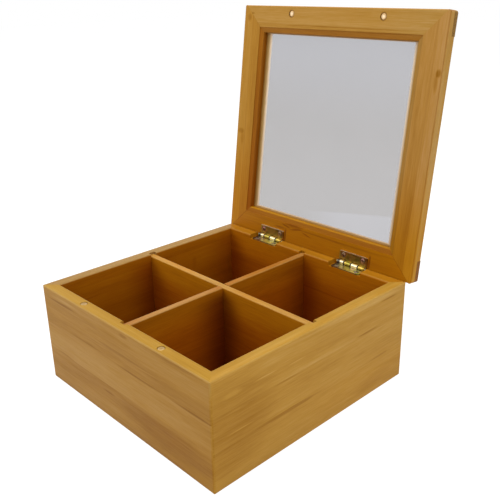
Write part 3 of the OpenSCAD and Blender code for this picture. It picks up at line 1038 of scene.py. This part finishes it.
@dataclass(frozen=True)
class HingeLeaf:
    """One leaf of a hinge: a plate, drilled for two screws and rolled round the pin in places.

    It is shaped in millimetres, lying flat under the pin, whose middle is the origin.
    """

    first_knuckle: int
    length: float = 25.5
    reach: float = 8.8
    plate: float = 0.9
    barrel: float = 1.75
    knuckles: int = 4
    gap: float = 0.4
    room: float = 0.4
    corner: float = 1.2
    screw_x: float = 9.0
    screw_inset: float = 3.1
    hole: float = 1.05
    countersink: float = 2.05
    roll_deg: float = 296.0
    arris: float = 0.12
    arris_from_deg: float = 40.0

    def spans(self) -> list[tuple[float, float]]:
        """Where this leaf's own knuckles begin and end along the pin.

        Returns:
            Start and end of each, from left to right.
        """
        pitch = self.length / self.knuckles
        starts = [index * pitch - self.length / 2 for index in range(self.first_knuckle, self.knuckles, 2)]
        return [(start + self.gap / 2, start + pitch - self.gap / 2) for start in starts]

    def shape(self) -> Shape:
        """The finished leaf.

        Returns:
            Its shape, flat under the pin, with the knuckles rolled.
        """
        shape = bmesh.new()
        self._cut_out(shape)
        self._drill(shape)
        self._roll(shape)
        turned = math.radians(self.arris_from_deg)
        sharp = [edge for edge in shape.edges if edge.calc_face_angle() > turned]
        rounded(shape, sharp, self.arris, clamp_overlap=True)
        return shape

    def _cut_out(self, shape: Shape) -> None:
        """Cuts the plate's outline, with a tab for each knuckle.

        Args:
            shape: An empty shape, which gets the outline as one flat face.
        """
        size = Matrix.Diagonal((self.length, self.reach, 1, 1))
        sheet = Matrix.Translation((0, -self.reach / 2, -self.barrel)) @ size
        bmesh.ops.create_grid(shape, x_segments=1, y_segments=1, size=0.5, matrix=sheet)
        plate_end = -self.barrel - self.room
        cuts = [((x, 0, 0), (1, 0, 0)) for span in self.spans() for x in span]
        for point, way in [*cuts, ((0, plate_end, 0), (0, 1, 0))]:
            everything = shape.verts[:] + shape.edges[:] + shape.faces[:]
            bmesh.ops.bisect_plane(shape, geom=everything, dist=1e-6, plane_co=point, plane_no=way)
        middles = {face: face.calc_center_median() for face in shape.faces}
        waste = [
            face for face, middle in middles.items()
            if middle.y > plate_end and not any(start < middle.x < end for start, end in self.spans())
        ]
        bmesh.ops.delete(shape, geom=waste, context="FACES")
        bmesh.ops.dissolve_faces(shape, faces=shape.faces[:])
        straight = [
            vert for vert in shape.verts if len(vert.link_edges) == 2 and vert.calc_edge_angle(0) < 0.01
        ]
        bmesh.ops.dissolve_verts(shape, verts=straight)
        outer = [vert for vert in shape.verts if vert.co.y < -self.reach + 0.01]
        rounded(shape, outer, self.corner, segments=6, affect="VERTICES")

    def _drill(self, shape: Shape) -> None:
        """Cuts the screw holes, thickens the plate and countersinks it.

        Args:
            shape: The outline.
        """
        row = self.screw_inset - self.reach
        middles = [Vector((side * self.screw_x, row, -self.barrel)) for side in (-1, 1)]
        bmesh.ops.delete(shape, geom=shape.faces[:], context="FACES_ONLY")
        for middle in middles:
            bmesh.ops.create_circle(shape, segments=32, radius=self.hole, matrix=Matrix.Translation(middle))
        bmesh.ops.triangle_fill(shape, edges=shape.edges[:], use_beauty=True, normal=(0, 0, 1))
        grown = bmesh.ops.extrude_face_region(shape, geom=shape.faces[:])["geom"]
        top = [part for part in grown if isinstance(part, bmesh.types.BMVert)]
        bmesh.ops.translate(shape, vec=(0, 0, self.plate), verts=top)
        wider = self.countersink / self.hole
        for middle in middles:
            rim = [vert for vert in top if (vert.co - middle).xy.length < self.hole * 1.1]
            bmesh.ops.scale(shape, vec=(wider, wider, 1), verts=rim, space=Matrix.Translation(-middle))
        bmesh.ops.recalc_face_normals(shape, faces=shape.faces[:])

    def _roll(self, shape: Shape) -> None:
        """Rolls the tabs round the pin.

        Args:
            shape: The flat plate with its tabs, which end under the pin's middle.
        """
        ends = [face for face in shape.faces if face.normal.y > 0.9 and face.calc_center_median().y > -0.01]
        for end in ends:
            bmesh.ops.spin(
                shape, geom=[end, *end.edges, *end.verts], cent=(0, 0, 0), axis=(1, 0, 0),
                angle=math.radians(self.roll_deg), steps=24,
            )
        bmesh.ops.remove_doubles(shape, verts=shape.verts[:], dist=1e-4)
        bmesh.ops.recalc_face_normals(shape, faces=shape.faces[:])


@dataclass(frozen=True)
class StopLug:
    """The lug on a lid knuckle that lands on the box leaf's side when the lid is open; millimetres."""

    lower: Vector = field(default_factory=lambda: Vector((0, 0.05, -3.6)))
    upper: Vector = field(default_factory=lambda: Vector((0, 1.05, -0.9)))
    arris: float = 0.15

    def add_to(self, shape: Shape, span: tuple[float, float], turn: Matrix) -> None:
        """Adds the lug under one knuckle.

        Args:
            shape: The leaf's shape.
            span: Where the knuckle begins and ends along the pin.
            turn: The turn that puts the lug where it sits on the leaf.
        """
        size = Vector((span[1] - span[0], *(self.upper - self.lower).yz))
        middle = Vector((sum(span) / 2, *((self.upper + self.lower) / 2).yz))
        lie = turn @ Matrix.Translation(middle) @ Matrix.Diagonal((*size, 1))
        block = bmesh.ops.create_cube(shape, size=1.0, matrix=lie)["verts"]
        edges = list({edge for vert in block for edge in vert.link_edges})
        rounded(shape, edges, self.arris)


@dataclass
class Hardware:
    """Hinges, screws and magnets."""

    zinc: YellowZinc = field(default_factory=YellowZinc)
    lid_nickel: Nickel = field(default_factory=Nickel)
    box_nickel: Nickel = field(default_factory=lambda: Nickel(
        bright=paint(174, 141, 86), scuffed=paint(164, 132, 80), rim=paint(180, 150, 102), roughness=0.5))
    box_leaf: HingeLeaf = field(default_factory=lambda: HingeLeaf(0))
    lid_leaf: HingeLeaf = field(default_factory=lambda: HingeLeaf(1))

    def build(self) -> None:
        """Builds the hinges and dresses the other metal pieces."""
        for seed, side in enumerate(("left", "right"), start=1):
            self._leaves(side, seed * 3.0)
            self._screws_and_pin(side, seed * 3.0)
            for name, nickel, on_lid in (
                (f"box_magnet_{side}", self.box_nickel, False),
                (f"lid_magnet_{side}", self.lid_nickel, True),
            ):
                dress(name, nickel.make(name, seed + 4.0 * on_lid, on_lid))

    def _leaves(self, side: str, seed: float) -> None:
        """Builds both leaves of one hinge.

        Args:
            side: Which hinge.
            seed: Shift of its plating's pattern.
        """
        hinging = Hinging.from_frame()
        low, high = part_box(f"hinge_{side}_pin")
        middle = Vector(((low.x + high.x) / 2, hinging.axis.y, hinging.axis.z))
        put = Matrix.Translation(middle) @ Matrix.Scale(MM, 4)
        flip = Matrix.Diagonal((1, 1, -1, 1))

        left, right = (middle.x / MM + way * self.box_leaf.length / 2 for way in (-1, 1))
        edge = middle.y / MM - self.box_leaf.reach
        barrel = Zone("Y", hinging.axis.y / MM - 2.0, hinging.axis.y / MM - 1.6)
        pitch = self.box_leaf.length / self.box_leaf.knuckles
        # Painted shade in the gaps between the knuckles.
        gaps = tuple(
            Zone("X", 0.75, 0.45, middle=left + index * pitch, within=barrel)
            for index in range(1, self.box_leaf.knuckles)
        )

        box_leaf = self.box_leaf.shape()
        box_leaf.transform(put)
        # Painted shadow of the lid over the leaf's left part, painted shade at its left end, and a painted
        # highlight on its knuckles.
        darkened = Zone("X", left + 13.0, left + 4.0, (0.86, 0.70, 0.55))
        shaded = (*gaps, Zone("X", left + 3.6, left + 1.8))
        plating = Plating(seed, 0.1, darkened=(darkened,), worn_and_highlit=(barrel,), shaded=shaded)
        finish = self.zinc.make(f"{side}_box_leaf", plating)
        replace(f"hinge_{side}_box_leaf", box_leaf, finish, "box")

        lid_leaf = self.lid_leaf.shape()
        lid_leaf.transform(flip)
        for span in self.lid_leaf.spans():
            StopLug().add_to(lid_leaf, span, hinging.turn(1))
        lid_leaf.transform(put @ hinging.turn(-1))
        bmesh.ops.recalc_face_normals(lid_leaf, faces=lid_leaf.faces[:])
        # Darker and redder round the screws and at the right end; a painted highlight along the outer edge,
        # and painted shade between the knuckles.
        reddish_dark = (0.80, 0.55, 0.52)
        row = Zone("Y", 3.2, 1.8, middle=edge + self.lid_leaf.screw_inset)
        screws = tuple(
            Zone("X", 3.4, 1.8, reddish_dark, middle.x / MM + way * self.lid_leaf.screw_x, row) for way in (-1, 1)
        )
        darkened = (Zone("X", right - 1.8, right - 0.9, reddish_dark), *screws)
        rubbed_highlight = Zone("Y", edge + 0.8, edge + 0.5)
        plating = Plating(seed + 1, -0.6, True, (0.90, 0.70, 0.28), darkened, (rubbed_highlight,), gaps)
        finish = self.zinc.make(f"{side}_lid_leaf", plating)
        replace(f"hinge_{side}_lid_leaf", lid_leaf, finish, "lid")

    def _screws_and_pin(self, side: str, seed: float) -> None:
        """Dresses the screws and the pin of one hinge.

        Args:
            side: Which hinge.
            seed: Shift of their plating's pattern.
        """
        dress(f"hinge_{side}_pin", self.zinc.make(f"{side}_pin", Plating(seed + 2, -1.0)))
        # Painted shade in each screw head's recess, from the level where it starts to the level where it is
        # full.
        for name, on_lid, tint, unshaded, shaded in (
            ("box_screws", False, (0.9, 0.95, 1.1), 71.95, 71.55),
            ("lid_screws", True, (0.82, 0.5, 0.46), 72.95, 73.35),
        ):
            plating = Plating(seed + 3, 1.0, on_lid, tint, shaded=(Zone("Z", unshaded, shaded),))
            dress(f"hinge_{side}_{name}", self.zinc.make(f"{side}_{name}", plating))


# ---- studio ----


@dataclass(frozen=True)
class Lamp:
    """A soft box: a square lamp that points at the middle of the box and its lid."""

    name: str
    place: Vector
    power: float
    aim: Vector = field(default_factory=lambda: Vector((0, 0, 0.08)))
    size: float = 0.9

    def build(self) -> None:
        """Puts the lamp in the scene."""
        data = bpy.data.lights.new(self.name, "AREA")
        data.shape = "SQUARE"
        data.size = self.size
        data.energy = self.power
        lamp = bpy.data.objects.new(self.name, data)
        lamp.location = self.place
        lamp.rotation_euler = (self.aim - self.place).to_track_quat("-Z", "Y").to_euler()
        bpy.context.scene.collection.objects.link(lamp)


@dataclass
class Studio:
    """White sweep, soft light and the camera."""

    eye: Vector = field(default_factory=lambda: Vector((0.33069, -0.28733, 0.27162)))
    gaze: Vector = field(default_factory=lambda: Vector((-0.67459, 0.64013, -0.36764)))
    lean_deg: float = 1.051
    lens: float = 49.476
    sensor: float = 36.0
    floor_side: float = 8.0
    ambient: float = 0.40
    floor_glow: float = 0.90
    floor_albedo: float = 0.25

    def build(self) -> None:
        """Sets up the whole studio."""
        self._world()
        self._floor()
        self._camera()
        for name, place, power in (
            ("top_box", (0.0, 0.05, 1.4), 11.0), ("left_box", (-0.8, -0.7, 1.0), 6.5),
            ("right_box", (1.15, -0.1, 0.8), 5.5),
        ):
            Lamp(name, Vector(place), power).build()
        bpy.context.scene.view_settings.view_transform = "Standard"

    def _world(self) -> None:
        """Even light from all round, and white where the camera or a mirror looks past everything."""
        world = bpy.data.worlds.new("studio")
        bench = Bench(world)
        seen = self._seen(bench)
        light = bench.node("Background", {"Color": (1, 1, 1), "Strength": self.ambient})
        white = bench.node("Background", {"Color": (1, 1, 1), "Strength": 1.0})
        bench.surface(bench.node("MixShader", {0: seen, 1: light, 2: white}))
        bpy.context.scene.world = world

    @staticmethod
    def _seen(bench: Bench) -> Flow:
        """1 for rays that show the background: from the camera, in mirrors and through glass."""
        camera, glossy, through = (
            bench.node("LightPath", out=f"Is {kind} Ray") for kind in ("Camera", "Glossy", "Transmission")
        )
        return (camera + glossy + through).clamped()

    def _floor(self) -> None:
        """A pale floor that shows white and keeps a soft shadow."""
        bpy.ops.mesh.primitive_plane_add(size=self.floor_side)
        floor = bpy.context.object
        floor.name = "floor"
        bench = Bench.for_material("floor_white")
        paper = bench.node("BsdfDiffuse", {"Color": (0.8, 0.8, 0.8)})
        glow = bench.node("Emission", {"Color": (1, 1, 1), "Strength": self.floor_glow})
        shadowed = bench.node("BsdfDiffuse", {"Color": (self.floor_albedo,) * 3})
        lit = bench.node("AddShader", {0: shadowed, 1: glow})
        mixed = bench.node("MixShader", {0: self._seen(bench), 1: paper, 2: lit})
        floor.data.materials.append(bench.surface(mixed))

    def _camera(self) -> None:
        """The camera at the photograph's place."""
        data = bpy.data.cameras.new("camera")
        data.lens = self.lens
        data.sensor_width = self.sensor
        data.clip_start = 0.01
        camera = bpy.data.objects.new("camera", data)
        lean = Matrix.Rotation(-math.radians(self.lean_deg), 4, "Z")
        turn = self.gaze.to_track_quat("-Z", "Y").to_matrix().to_4x4()
        camera.matrix_world = Matrix.Translation(self.eye) @ turn @ lean
        bpy.context.scene.collection.objects.link(camera)
        bpy.context.scene.camera = camera


def main() -> None:
    """Builds the box, piece by piece, and the studio round it."""
    logging.basicConfig(level=logging.INFO, format="%(name)s: %(message)s")
    for part in (BoxBody(), Dividers(), Lid(), Hardware(), Studio()):
        part.build()


if __name__ == "__main__":
    main()
